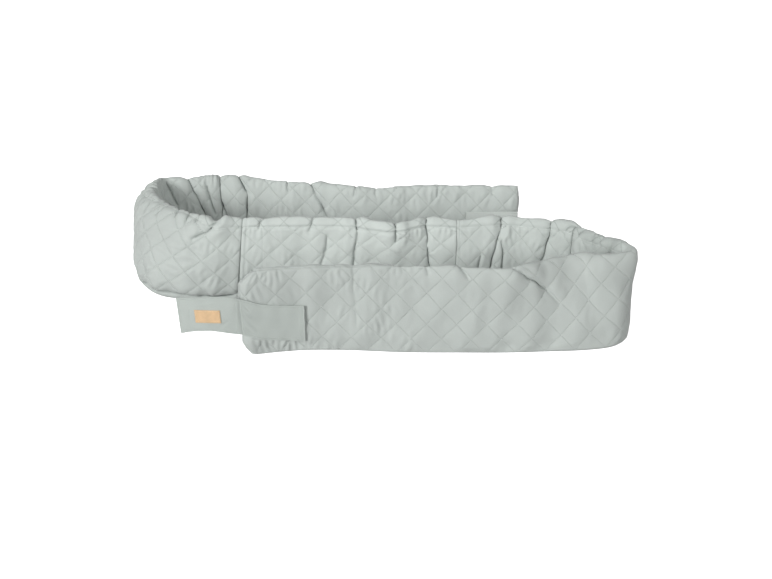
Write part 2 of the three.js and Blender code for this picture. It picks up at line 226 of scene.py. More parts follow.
def cloth_height(share):
    """Length of cloth from the foot up to a share of the height; over 1 goes on past the crest."""
    shares, _ = even_shares(400)
    return np.interp(share, shares, np.linspace(0, CLOTH_UP, 401)) + np.maximum(
        np.asarray(share) - 1, 0
    ) * WALL_HEIGHT


# ---------------------------------------------------------------- creases

# side, then distance along the wall and share of the height at each end, and depth.
CREASES = [
    (A, 0.087, 1.02, 0.084, 0.90, 0.005),
    (A, 0.264, 1.02, 0.264, 0.88, 0.005),
    (A, 0.465, 1.02, 0.463, 0.93, 0.004),
    (A, 0.528, 1.02, 0.530, 0.90, 0.006),
    (A, 0.684, 1.04, 0.669, 0.94, 0.009),
    (A, 0.669, 0.94, 0.622, 0.56, 0.009),
    (A, 0.756, 1.03, 0.750, 0.88, 0.006),
    (A, 0.930, 1.04, 0.894, 0.78, 0.015),
    (A, 0.894, 0.78, 0.906, 0.25, 0.016),
    (A, 0.989, 0.72, 0.965, 0.45, 0.013),
    (A, 1.032, 0.88, 1.006, 0.50, 0.009),
    (A, 1.096, 1.03, 1.034, 0.36, 0.015),
    (A, 1.165, 0.95, 1.132, 0.64, 0.010),
    (A, 1.222, 0.90, 1.226, 0.20, 0.010),
    (A, 1.424, 0.85, 1.420, 0.20, 0.010),
    (B, 1.262, 1.06, 1.270, 0.95, 0.005),
    (B, 1.306, 1.06, 1.316, 0.91, 0.006),
    (B, 1.348, 1.06, 1.352, 0.95, 0.006),
    (B, 1.392, 1.06, 1.400, 0.90, 0.006),
    (B, 1.436, 1.06, 1.436, 0.94, 0.006),
    (B, 1.488, 1.06, 1.478, 0.91, 0.007),
    (B, 1.540, 1.05, 1.552, 0.95, 0.006),
    (B, 1.592, 1.05, 1.600, 0.92, 0.007),
    (B, 1.640, 1.04, 1.634, 0.95, 0.006),
    (B, 1.712, 1.08, 1.697, 1.00, 0.018),
    (B, 1.697, 1.00, 1.670, 0.872, 0.019),
    (B, 1.670, 0.872, 1.635, 0.765, 0.006),
    (B, 1.450, 0.055, 1.520, 0.062, 0.008),
    (B, 1.510, 0.060, 1.600, 0.050, 0.009),
    (B, 1.590, 0.054, 1.690, 0.046, 0.011),
    (B, 1.690, 0.050, 1.775, 0.046, 0.013),
    (B, 1.848, 1.03, 1.833, 0.88, 0.006),
    (B, 2.007, 1.04, 1.991, 0.86, 0.007),
    (B, 2.044, 0.78, 2.024, 0.30, 0.007),
    (B, 2.127, 1.04, 2.138, 0.86, 0.011),
    (B, 2.138, 0.86, 2.118, 0.25, 0.009),
    (B, 2.241, 1.05, 2.249, 0.95, 0.011),
    (B, 2.249, 0.95, 2.246, 0.76, 0.010),
    (B, 2.339, 1.05, 2.346, 0.66, 0.012),
    (B, 2.346, 0.66, 2.360, 0.25, 0.012),
    (B, 2.508, 0.52, 2.494, 0.22, 0.009),
    (B, 2.574, 1.05, 2.564, 0.85, 0.014),
    (B, 2.564, 0.85, 2.530, 0.22, 0.014),
    (B, 2.574, 0.70, 2.577, 0.22, 0.009),
    (B, 2.719, 1.05, 2.690, 0.25, 0.015),
    (B, 2.772, 0.92, 2.815, 1.01, 0.009),
    (B, 2.808, 1.03, 2.787, 0.55, 0.013),
    (B, 2.836, 1.01, 2.828, 0.93, 0.009),
    (B, 2.868, 1.00, 2.880, 0.84, 0.007),
    (B, 2.902, 1.02, 2.892, 0.88, 0.007),
    (B, 2.936, 0.95, 2.930, 0.15, 0.010),
    (B, 3.108, 0.80, 3.116, 0.15, 0.010),
    (A, 3.398, 1.03, 3.362, 0.91, 0.007),
    (A, 3.362, 0.91, 3.300, 0.68, 0.011),
    (A, 3.300, 0.68, 3.258, 0.52, 0.005),
    (A, 3.532, 1.03, 3.509, 0.87, 0.006),
    (A, 3.621, 1.03, 3.615, 0.90, 0.005),
    (A, 3.815, 0.97, 3.806, 0.30, 0.003),
]
# Painted shadow along lines at the bottom of folds: side, distance and share at each end, shade.
DARK_LINES = [
    (B, 1.704, 1.03, 1.671, 0.875, 1.0),
    (B, 1.671, 0.875, 1.645, 0.80, 0.5),
    (B, 1.455, 0.050, 1.510, 0.058, 0.5),
    (B, 1.530, 0.056, 1.590, 0.048, 0.6),
    (B, 1.610, 0.050, 1.680, 0.044, 0.7),
    (B, 1.700, 0.046, 1.765, 0.044, 0.8),
    (A, 0.897, 0.80, 0.905, 0.30, 0.7),
    (A, 1.090, 0.98, 1.040, 0.42, 0.7),
]
# Painted shade on inner faces that hardly any light reaches: side, middle of the stretch of wall, its
# reach, shade.
SHADED = [(B, 2.900, 0.100, 0.20)]
CREASE_WIDE = 0.013          # half width of the hollow that a crease lies in
CREASE_NARROW = 0.0036       # half width of its sharp bottom
CREASE_SHARP_SHARE = 0.6     # share of the depth that the sharp bottom has
# The shaded line at the bottom of a crease is painted shadow that darkens the cloth's colour.
CREASE_DARK_HALF = 0.0030    # half width of the shaded line at the bottom of a crease
CREASE_DARK_FROM = 0.006     # depth from which a crease is shaded
CREASE_DARK_DEPTH = 0.013    # depth from which it is fully shaded
PILLOW_REACH = 0.026         # distance from a crease at which the cloth stands proud
PILLOW = 0.22                # share of the crease's depth by which it does
CREASE_PINCH = 0.0032        # how far the cloth beside a crease is drawn over it
CREASE_PINCH_AT = 0.012      # depth of a crease that draws the cloth that far
CREASE_PINCH_REACH = 1.6 * CREASE_NARROW
CREASE_TIP = 0.55            # share of its depth that a crease has at its ends
CREASE_RISE = 0.45           # and the share that it gains towards its middle
CREASE_WANDER = 0.0018       # how far a crease strays from a straight line


def from_line(x, z, step):
    """Offsets from a line that runs from the origin by a step, and the part of the line passed."""
    part = np.clip((x * step[0] + z * step[1]) / (step @ step), 0, 1)
    return x - step[0] * part, z - step[1] * part, part


def line_on_cloth(side, start, start_share, end, end_share):
    """Height of a line's start on the cloth, and the step along and up the cloth to its end."""
    low, high = cloth_height(start_share), cloth_height(end_share)
    if side == B:
        low, high = 2 * CLOTH_UP - low, 2 * CLOTH_UP - high
    return low, np.array([end - start, high - low])


def crease_fields(distance, height, wander):
    """Depth of the creases, the painted shade of creases, folds and inner faces, and how far creases draw
    the cloth along and up the wall.
    """
    depth = np.zeros(wander[0].shape)
    shade = np.zeros(wander[0].shape)
    pull_along = np.zeros(wander[0].shape)
    pull_up = np.zeros(wander[0].shape)
    for side, start, start_share, end, end_share, deep in CREASES:
        low, step = line_on_cloth(side, start, start_share, end, end_share)
        away_x, away_z, part = from_line(distance + wander[0] - start, height + wander[1] - low, step)
        away = np.hypot(away_x, away_z)
        tip = CREASE_TIP + CREASE_RISE * np.sqrt(np.clip(4 * part * (1 - part), 0, 1))
        sharp = CREASE_SHARP_SHARE * near(away, CREASE_NARROW)
        hollow = (1 - CREASE_SHARP_SHARE) * near(away, CREASE_WIDE)
        ratio = (away / PILLOW_REACH) ** 2
        proud = PILLOW * ratio * np.exp(1 - ratio)
        depth = depth + deep * tip * (sharp + hollow - proud)
        # Painted shadow along the bottom of deep creases.
        darkness = (deep - CREASE_DARK_FROM) / (CREASE_DARK_DEPTH - CREASE_DARK_FROM)
        dark = min(max(darkness, 0), 1) * tip * near(away, CREASE_DARK_HALF)
        shade = np.maximum(shade, dark)
        reach = CREASE_PINCH_REACH
        pinch = CREASE_PINCH * deep / CREASE_PINCH_AT * np.exp(0.5 - 0.5 * (away / reach) ** 2) / reach
        pull_along = pull_along - pinch * away_x
        pull_up = pull_up - pinch * away_z
    # Painted shadow along fold lines, then painted shade on inner faces.
    for side, start, start_share, end, end_share, dark in DARK_LINES:
        low, step = line_on_cloth(side, start, start_share, end, end_share)
        away_x, away_z, _ = from_line(distance + wander[0] - start, height + wander[1] - low, step)
        shade = np.maximum(shade, dark * near(np.hypot(away_x, away_z), CREASE_DARK_HALF))
    for side, middle, reach, dark in SHADED:
        of_side = (height < CLOTH_UP) == (side == A)
        shade = np.maximum(shade, dark * near(distance - middle, reach) * of_side)
    return depth, shade, pull_along, pull_up


# ---------------------------------------------------------------- quilted cloth

QUILT_CELLS = 26             # grid cells from one crossing of the stitch lines to the next
# Length of cloth from the crest down side B to the hem's topstitch, at distances along the wall.
# Below 0 the topstitch lies on side A.
HEM_AT = [(0, 0.032), (1.20, 0.032), (1.34, 0.012), (1.42, 0.004), (1.60, 0.005), (1.66, 0.018),
          (1.70, 0.030), (1.74, 0.032), (3.35, 0.032), (3.55, 0.012), (3.80, -0.004), (WALL_END, -0.006)]
HEM_GROOVE = 0.0016          # how far its topstitch draws the cloth in
HEM_GROOVE_REACH = 0.0022
HEM_RIDGE = 0.0010           # how far the cloth stands up just above the topstitch
HEM_RIDGE_ABOVE = 0.007
HEM_RIDGE_REACH = 0.005
HEM_FLAT_REACH = 0.004       # distance from the topstitch at which the hem is full again
ROW_REACH = 0.0018           # distance from a row of stitches at which it still holds the cloth
ROW_FLAT_REACH = 0.003
HOLD_REACH = 0.020           # height above the foot at which the cloth is free
DRAWN_ALONG = 0.006          # most that creases draw the cloth along the wall
DRAWN_UP = 0.004             # and up it
RIPPLE = 0.0016              # depth of the ripples that loose cloth starts from
RIPPLE_AT = 0.05             # looseness at which they have that depth
RIPPLE_ON_LINE = 0.5         # share of it that they have on a stitch line
LEVEL_FROM = 0.03            # looseness up the wall from which there are level ripples too
SEAM_REACH = 0.012
STITCH_DRAW = 0.0007         # how far the stitches draw the settled cloth in
PRESS_REACH = 0.006          # width in which the cloth comes up beside a sheet sewn on it
PRESS_FROM = 1.3             # how many such widths from the sheet's edge it is up
STREAK_LEANS = (-0.45, 0.0, 0.45)
STREAK_MEAN = 0.4            # mean strength of a streak, which varies by 1 from place to place
BILLOW = 0.0024              # how far the filling bulges between its hollows
PATCHY = 0.6                 # how unevenly the loose cloth is spread
LEAST_PATCHY, MOST_PATCHY = 0.15, 2.2   # least and most of it, as shares of the mean
SHADE_MEAN, SHADE_SPREAD = 0.85, 0.35   # how unevenly creases are shaded
# How often a random field is averaged along and up the cloth: more makes its patches larger.
WANDER_BLUR = (30, 30)
SHADE_BLUR = (10, 10)
BILLOW_BLUR = (60, 240)
PATCHY_BLUR = (60, 40)
FINE_BLUR = (6, 6)
STREAK_THIN_BLUR = (2, 0)
STREAK_LONG_BLUR = (0, 24)
STREAK_APART_BLUR = (8, 0)
FILLING_GIVES = 0.0007       # how far the cloth sinks into the filling
FOLD_SHARPER = 0.35          # share by which the settled cloth's fine folds stand out more
FOLD_FINE = 0.002            # most that a fine fold counts
DIAGONAL_STIFF = 0.3         # stiffness of the cloth across its grid; along its threads it is 1
MOVE_SHARE = 0.45            # share of each stretch that one step of the simulation takes up
SMOOTHING = 0.009            # resistance to bending
STITCH_HOLDS = 0.10          # share of the way back to its place that a stitch takes the cloth
FILLING_HOLDS = 0.004        # and that the filling does everywhere
FILLING_PUSHES = 0.5         # share of the sinking below the filling that is taken back
CORNER_HEIGHT = 0.16         # share of the height that a cut corner takes
CORNER_REACH = 0.080         # length of wall that gives way to a cut corner
PANELS = [
    # cells: along the wall, up side A, up side B. cross: one crossing on each side, counted in cells
    # from the panel's start and up from the foot. cut: how far the free ends' corners are cut.
    # puff: how far a diamond stands above its stitch lines. draw: how far the seam at its start and at
    # its end draws the cloth in. rows: distances from its start of upright rows of stitches.
    dict(name="back_panel", start="back end", end="back seam", cells=(319, 76, 76),
         cross_a=(17, 56), cross_b=(4, 32), start_cut=0.006, end_cut=0, puff=0.0012, draw=(0, 0.0045)),
    dict(name="left_bend_panel", start="back seam", end="middle seam", cells=(250, 76, 85),
         cross_a=(9, 56), cross_b=(7, 43), start_cut=0, end_cut=0, puff=0.0014, draw=(0.0045, 0.0040)),
    dict(name="middle_panel", start="middle seam", end="right seam", cells=(211, 76, 93),
         cross_a=(5, 43), cross_b=(15, 63), start_cut=0, end_cut=0, puff=0.0013, draw=(0.0040, 0.0016),
         rows=(0.0155, 0.069)),
    dict(name="front_panel", start="right seam", end="front end", cells=(541, 76, 76),
         cross_a=(3, 39), cross_b=(11, 30), start_cut=0, end_cut=0.038, puff=0.0008, draw=(0.0016, 0),
         rows=(0.010,)),
]
# Share by which the cloth is longer than the filling that it covers, at distances along the wall.
LOOSE_AT = {
    A: [(0, 0.04), (0.95, 0.05), (1.05, 0.08), (1.45, 0.08), (1.8, 0.04), (2.8, 0.015),
        (3.2, 0.015), (3.5, 0.015), (3.65, 0.03), (3.8, 0.05), (WALL_END, 0.055)],
    B: [(0, 0.05), (0.98, 0.05), (1.1, 0.02), (1.55, 0.03), (1.68, 0.05), (1.8, 0.04),
        (2.45, 0.035), (2.6, 0.07), (3.1, 0.07), (3.3, 0.06), (WALL_END, 0.05)],
}
# The same up and down the wall, where the cloth hangs in level wrinkles.
LOOSE_UPWARD_AT = {
    A: [(0, 0.02), (WALL_END, 0.02)],
    B: [(0, 0.02), (1.18, 0.02), (1.32, 0.05), (1.62, 0.05), (1.75, 0.02), (WALL_END, 0.02)],
}
GATHER_REACH = 0.016         # distance from a gathered edge at which it still crowds the cloth
# How much more cloth there is at such an edge, at distances along the wall.
GATHER_AT = [(0, 0.03), (1.15, 0.03), (1.25, 0.09), (1.60, 0.09), (1.70, 0.03), (WALL_END, 0.03)]


def blurred(field, along_times, up_times):
    """Field averaged with its neighbours along and up the cloth a number of times."""
    for axis, times in ((0, along_times), (1, up_times)):
        for _ in range(times):
            padded = np.pad(field, [(1, 1) if a == axis else (0, 0) for a in range(2)], mode="edge")
            low = padded[:-2] if axis == 0 else padded[:, :-2]
            high = padded[2:] if axis == 0 else padded[:, 2:]
            field = low / 4 + field / 2 + high / 4
    return field


def uneven(random, shape, along_times, up_times):
    """Smooth random field with a spread of 1."""
    field = blurred(random.standard_normal(shape), along_times, up_times)
    return field / field.std()


def streaks(random, shape):
    """Random streaks about 20 mm from one to the next, upright or leaning, with a spread of 1."""
    rows = np.arange(shape[1])
    field = np.zeros(shape)
    for lean in STREAK_LEANS:
        noise = blurred(random.standard_normal(shape), *STREAK_THIN_BLUR)
        sheared = np.stack([np.roll(noise[:, row], round(lean * row)) for row in rows], 1)
        sheared = blurred(sheared, *STREAK_LONG_BLUR)
        leaning = np.stack([np.roll(sheared[:, row], -round(lean * row)) for row in rows], 1)
        leaning = leaning - blurred(leaning, *STREAK_APART_BLUR)
        strength = np.clip(STREAK_MEAN + uneven(random, shape, *PATCHY_BLUR), 0, None)
        field = field + leaning / leaning.std() * strength
    return field / field.std()


def outward_of(points):
    """Direction out of a cloth grid at each of its points."""
    return unit(np.cross(np.gradient(points, axis=1), np.gradient(points, axis=0)))


def near(distance, reach):
    return np.exp(-((distance / reach) ** 2))


def dot(one, other):
    return np.einsum("ijk,ijk->ij", one, other)


class Cloth:
    """The cloth of one panel: its grid, its stitch lines and, once settled, its shape."""

    def __init__(self, panel, seed, sheets):
        self.panel = panel
        self.sheets = sheets
        self.random = np.random.default_rng(seed)
        cells_along, cells_a, cells_b = panel["cells"]
        self.cells_a, self.cells_b = cells_a, cells_b
        start = mark_of(panel["start"]) + (0 if panel["start_cut"] else SEAM_GAP / 2)
        end = mark_of(panel["end"]) - (0 if panel["end_cut"] else SEAM_GAP / 2)
        self.start, self.end = start, end
        self.distance = np.linspace(start, end, cells_along + 1)[:, None]
        shares_a, _ = even_shares(cells_a)
        shares_b, _ = even_shares(cells_b)
        self.share = np.concatenate([shares_a, shares_b[-2::-1]])[None, :]
        heights_a = np.linspace(0, CLOTH_UP, cells_a + 1)
        heights_b = CLOTH_UP + np.linspace(0, CLOTH_UP, cells_b + 1)[1:]
        self.height = np.concatenate([heights_a, heights_b])[None, :]
        self.side = np.where(np.arange(cells_a + cells_b + 1) <= cells_a, A, B)[None, :]
        self.hem = CLOTH_UP + np.interp(self.distance, *zip(*HEM_AT))
        self.column = np.arange(cells_along + 1)[:, None]
        self.row = np.arange(cells_a + cells_b + 1)[None, :]
        self.shape = (cells_along + 1, cells_a + cells_b + 1)

    def quilt_counts(self, column, row, of_b):
        """Place of grid points across the two sets of stitch lines; whole numbers lie on a line."""
        cross_column, cross_row = self.panel["cross_b"] if of_b else self.panel["cross_a"]
        up = (self.cells_a + self.cells_b - row) if of_b else row
        x = column - cross_column
        z = up - cross_row
        return (x + z) / QUILT_CELLS, (x - z) / QUILT_CELLS

    def line_masks(self):
        """Grid points on the rising and on the falling stitch lines."""
        a_rise, a_fall = self.quilt_counts(self.column, self.row, False)
        b_rise, b_fall = self.quilt_counts(self.column, self.row, True)
        above_hem = self.height <= self.hem
        return np.where(above_hem, a_rise, b_rise), np.where(above_hem, a_fall, b_fall)

    def base(self):
        """The filled form before quilting."""
        panel = self.panel
        from_start = self.distance - self.start
        from_end = self.end - self.distance
        top = np.clip((self.share - 1 + CORNER_HEIGHT) / CORNER_HEIGHT, 0, 1)
        bottom = np.clip((CORNER_HEIGHT - self.share) / CORNER_HEIGHT, 0, 1)
        cut = top + bottom / 2
        back = panel["end_cut"] * cut * np.maximum(1 - from_end / CORNER_REACH, 0)
        forth = panel["start_cut"] * cut * np.maximum(1 - from_start / CORNER_REACH, 0)
        place = self.distance - back + forth
        share = np.broadcast_to(self.share, place.shape)
        amount = section(place, share)
        if panel["start_cut"]:
            amount = amount * end_share(from_start)
        if panel["end_cut"]:
            amount = amount * end_share(from_end)
        points = wall_point(self.side, place, share, amount)
        points[:, [0, -1], 2] = 0
        return points

    def seam_draw(self):
        """How far the seams at the panel's joined ends draw the cloth in."""
        total = np.zeros(self.shape)
        for draw, away in zip(self.panel["draw"], (self.distance - self.start, self.end - self.distance)):
            total = total + draw / 2 * (near(away, SEAM_REACH) + near(away, SEAM_REACH / 3))
        return total

    def pressed(self):
        """How firmly the sheets sewn on side A press each grid point, from 0 to 1."""
        height = np.broadcast_to(self.share * WALL_HEIGHT, self.shape)
        distance = np.broadcast_to(self.distance, self.shape)
        inside = np.maximum(*[sheet.from_edge(distance, height) for sheet in self.sheets])
        return np.clip(inside / PRESS_REACH + PRESS_FROM, 0, 1) * (self.side == A)

    def creased(self, base, hold):
        """The filled form with its creases, billows and drawn-in seams. Also sets the creases' painted
        shade.
        """
        wander = [CREASE_WANDER * uneven(self.random, self.shape, *WANDER_BLUR) for _ in range(2)]
        depth, shade, pull_along, pull_up = crease_fields(self.distance, self.height, wander)
        # Painted shade of the creases, made uneven from place to place.
        varied = SHADE_MEAN + SHADE_SPREAD * uneven(self.random, self.shape, *SHADE_BLUR)
        self.shade = shade * np.clip(varied, 0, 1)
        lumps = BILLOW * uneven(self.random, self.shape, *BILLOW_BLUR)
        sunk = depth + self.seam_draw() - lumps
        return base + hold[..., None] * (
            -outward_of(base) * sunk[..., None]
            + unit(np.gradient(base, axis=0)) * np.clip(pull_along, -DRAWN_ALONG, DRAWN_ALONG)[..., None]
            + unit(np.gradient(base, axis=1)) * np.clip(pull_up, -DRAWN_UP, DRAWN_UP)[..., None]
        )

    def puffed(self, below_hem, hold):
        """How far the cloth stands off its creased form, the grid points on a stitch line, and how
        firmly the upright rows of stitches hold each grid point."""
        on_line = (self.rise % 1 == 0) | (self.fall % 1 == 0)
        quilt = np.abs(np.sin(math.pi * self.rise) * np.sin(math.pi * self.fall))
        band = (self.height >= CLOTH_UP) & (below_hem < 0)
        on_line = on_line & ~band
        quilt = np.where(band, 1 - near(below_hem, HEM_FLAT_REACH), quilt)
        held = np.zeros(self.shape)
        for number, place in enumerate(self.panel.get("rows", ())):
            from_row = np.broadcast_to(self.distance - self.start - place, self.shape)
            held = np.maximum(held, near(from_row, ROW_REACH))
            if number == 0:
                on_line = on_line & (from_row > 0)
                quilt = np.where(from_row < 0, 1, quilt)
            quilt = quilt * (1 - near(from_row, ROW_FLAT_REACH))
        puff = self.panel["puff"] * (quilt**0.5 - 1) - HEM_GROOVE * near(below_hem, HEM_GROOVE_REACH)
        puff = (puff + HEM_RIDGE * near(below_hem + HEM_RIDGE_ABOVE, HEM_RIDGE_REACH)) * hold
        return puff, on_line, held

    def looseness(self, below_hem, foot_away):
        """Shares by which the cloth is too long along the wall and up it."""
        gathered = near(below_hem, GATHER_REACH) + near(foot_away, GATHER_REACH) / 2
        gathered = np.maximum(gathered, near(self.height - CLOTH_UP, GATHER_REACH))
        loose, loose_up = (
            np.where(
                below_hem <= 0,
                np.interp(self.distance, *zip(*table[A])),
                np.interp(self.distance, *zip(*table[B])),
            )
            for table in (LOOSE_AT, LOOSE_UPWARD_AT)
        )
        loose = loose + np.interp(self.distance, *zip(*GATHER_AT)) * gathered
        patchy = 1 + PATCHY * uneven(self.random, self.shape, *PATCHY_BLUR)
        return loose * np.clip(patchy, LEAST_PATCHY, MOST_PATCHY), loose_up

    def settle(self, steps):
        """Works out the cloth's shape: creases, seams and puffs first, then the loose cloth's wrinkles."""
        self.rise, self.fall = self.line_masks()
        below_hem = self.height - self.hem
        foot_away = np.minimum(self.height, 2 * CLOTH_UP - self.height)
        hold = np.clip(foot_away / HOLD_REACH, 0, 1)
        base = self.base()
        form = self.creased(base, hold)
        outward = outward_of(form)
        puff, on_line, held = self.puffed(below_hem, hold)
        loose, loose_up = self.looseness(below_hem, foot_away)
        start_form = form + outward * puff[..., None]
        level = streaks(self.random, self.shape[::-1]).T * np.clip(loose_up / LEVEL_FROM - 1, 0, 1)
        ripple = RIPPLE * (np.sqrt(loose / RIPPLE_AT) * streaks(self.random, self.shape) + level) * hold
        ripple = ripple * np.where(on_line, RIPPLE_ON_LINE, 1)
        stitched = np.where(on_line, 1.0, np.maximum(near(below_hem, ROW_REACH), held))
        fixed = (self.row == 0) | (self.row == self.shape[1] - 1)
        fixed = fixed | (self.column == 0) | (self.column == self.shape[0] - 1)
        points = start_form + outward * ripple[..., None]
        links = cloth_links(start_form, loose, loose_up)
        points = relaxed(points, start_form, outward, links, stitched, fixed, steps)
        outward = outward_of(points)
        out = dot(points - base, outward)
        fine = np.clip(out - blurred(out, *FINE_BLUR), -FOLD_FINE, FOLD_FINE)
        points = points + outward * ((FOLD_SHARPER * fine - STITCH_DRAW * stitched) * hold)[..., None]
        outward = outward_of(base)
        proud = dot(points - base, outward) + SHEET_CLEAR / 2
        self.points = points - outward * (self.pressed() * np.maximum(proud, 0))[..., None]
        self.points[..., 2] = np.maximum(self.points[..., 2], 0)
        self.outward = outward_of(self.points)
        self.stitched = on_line
        return self


def cloth_links(form, loose, loose_up):
    """Links of a cloth grid: which points they join, their lengths at rest and their stiffness."""
    whole, fore, aft = slice(None), slice(None, -1), slice(1, None)
    longer = 1 + (loose[1:] + loose[:-1]) / 2
    higher = 1 + (loose_up[:, 1:] + loose_up[:, :-1]) / 2
    stretch = 1 + loose[:-1, :-1] / 2
    rest_along = np.linalg.norm(np.diff(form, axis=0), axis=-1) * longer
    rest_up = np.linalg.norm(np.diff(form, axis=1), axis=-1) * higher
    diagonal_a = np.linalg.norm(form[1:, 1:] - form[:-1, :-1], axis=-1) * stretch
    diagonal_b = np.linalg.norm(form[1:, :-1] - form[:-1, 1:], axis=-1) * stretch
    return (
        ((fore, whole), (aft, whole), rest_along, 1.0),
        ((whole, fore), (whole, aft), rest_up, 1.0),
        ((fore, fore), (aft, aft), diagonal_a, DIAGONAL_STIFF),
        ((fore, aft), (aft, fore), diagonal_b, DIAGONAL_STIFF),
    )


def relaxed(points, form, outward, links, stitched, fixed, steps):
    """Cloth after some steps in which its links even out, it resists bending, its stitches hold it
    to the form and the filling keeps it from sinking in."""
    for _ in range(steps):
        move = np.zeros_like(points)
        for one, other, rest, stiff in links:
            gap = points[other] - points[one]
            length = np.sqrt(dot(gap, gap))
            push = gap * (0.5 * stiff * (length - rest) / length)[..., None]
            move[one] += push
            move[other] -= push
        bend = np.zeros_like(points)
        bend[1:-1] += points[2:] - 2 * points[1:-1] + points[:-2]
        bend[:, 1:-1] += points[:, 2:] - 2 * points[:, 1:-1] + points[:, :-2]
        smooth = np.zeros_like(points)
        smooth[1:-1, 1:-1] = (
            bend[2:, 1:-1] + bend[:-2, 1:-1] + bend[1:-1, 2:] + bend[1:-1, :-2] - 4 * bend[1:-1, 1:-1]
        )
        points = points + MOVE_SHARE * move - SMOOTHING * smooth
        back = form - points
        points = points + back * (STITCH_HOLDS * stitched + FILLING_HOLDS)[..., None]
        under = np.minimum(dot(points - form, outward) + FILLING_GIVES, 0)
        points = points - outward * (FILLING_PUSHES * under)[..., None]
        points[fixed] = form[fixed]
    return points


# ---------------------------------------------------------------- strap, patch and label

STRAP_FREE = 0.166           # length of the strap past the front panel's end
STRAP_SWING = 0.040          # how far its free end swings back
SHEET_CLEAR = 0.0004
SHEET_THICK = 0.0025
LABEL_THICK = 0.0016
LABEL_CLEAR = 0.0006
SHEET_RIM = 0.0011           # width over which a sheet's edge rounds off
SHEET_STEP = 0.002           # grid step of a sheet
SEWN_INSIDE = 0.0052         # distance of a topstitch from the edge of a sheet
STITCH_HOLLOW = 0.0007       # how far a topstitch draws its sheet in
STITCH_HOLLOW_REACH = 0.0016
OUTLINE_EVENED = np.linspace(-0.008, 0.008, 5)   # lengths over which an outline's corners are rounded
RIM_LEAST = 0.3              # share of its thickness that a sheet has at its very edge
FOLD_LEAST = 0.4             # share of its depth that a fold has at its ends
WAVES = 9                    # waves of a sheet's surface, their lengths and their depth
WAVE_LENGTHS = (0.03, 0.12)
WAVE_DEPTH = 0.0005
LABEL_SEWN_INSIDE = 0.0028   # distance of the label's stitches from its edge
STRAP_ROWS = (-0.1590, -0.0040, 0.0125)   # the strap's upright rows, from the front panel's end

# Each outline: distance past the panel's end, heights of the lower and of the upper edge.
STRAP_OUTLINE = [
    (-0.172, 0.0320, 0.1410),
    (-0.140, 0.0355, 0.1425),
    (-0.107, 0.0390, 0.1445),
    (-0.067, 0.0450, 0.1495),
    (-0.043, 0.0495, 0.1560),
    (-0.019, 0.0600, 0.1660),
    (0.000, 0.0670, 0.1720),
    (0.026, 0.0710, 0.1780),
    (0.053, 0.0760, 0.1790),
    (0.087, 0.0800, 0.1780),
    (0.121, 0.0780, 0.1760),
    (0.145, 0.0750, 0.1745),
    (STRAP_FREE, 0.0690, 0.1720),
]
PATCH_OUTLINE = [(0.004, 0.058, 0.167), (0.170, 0.058, 0.167)]
LABEL_OUTLINE = [(0.053, 0.104, 0.141), (0.121, 0.104, 0.141)]
# Folds of a sheet: distance past the panel's end and height at each end, depth and half width.
# A ridge has a depth below 0.
STRAP_FOLDS = [
    (-0.001, 0.172, -0.001, 0.122, 0.0009, 0.0022),
    (-0.001, 0.122, -0.001, 0.066, 0.0018, 0.0022),
    (-0.010, 0.104, -0.034, 0.074, -0.0016, 0.0050),
    (-0.010, 0.128, -0.026, 0.116, -0.0012, 0.0040),
    (-0.012, 0.150, -0.024, 0.135, 0.0009, 0.0030),
    (0.006, 0.160, 0.010, 0.080, -0.0010, 0.0030),
    (0.133, 0.140, 0.135, 0.112, 0.0012, 0.0030),
    (0.060, 0.090, 0.034, 0.108, 0.0010, 0.0040),
    (0.110, 0.152, 0.070, 0.160, -0.0007, 0.0050),
]


def sheet_point(distance, height, amount):
    """Point of a sheet on side A; past the front panel's end the sheet swings back."""
    share = height / WALL_HEIGHT
    past = np.maximum(distance - WALL_END, 0)
    inside = np.clip(distance, FREE_END_REACH, WALL_END - FREE_END_REACH)
    swing = STRAP_SWING * (past / STRAP_FREE) ** 2
    return wall_point(A, distance, share, section(inside, share) + amount - swing)


def rimmed_steps(length):
    """Places from 0 to a length, close together where an edge rounds off."""
    rim = SHEET_RIM * (1 - np.cos(np.linspace(0, math.pi / 2, 4)))[:-1]
    middle = np.linspace(SHEET_RIM, length - SHEET_RIM, round(length / SHEET_STEP) + 1)
    return np.concatenate([rim, middle, (length - rim)[::-1]])


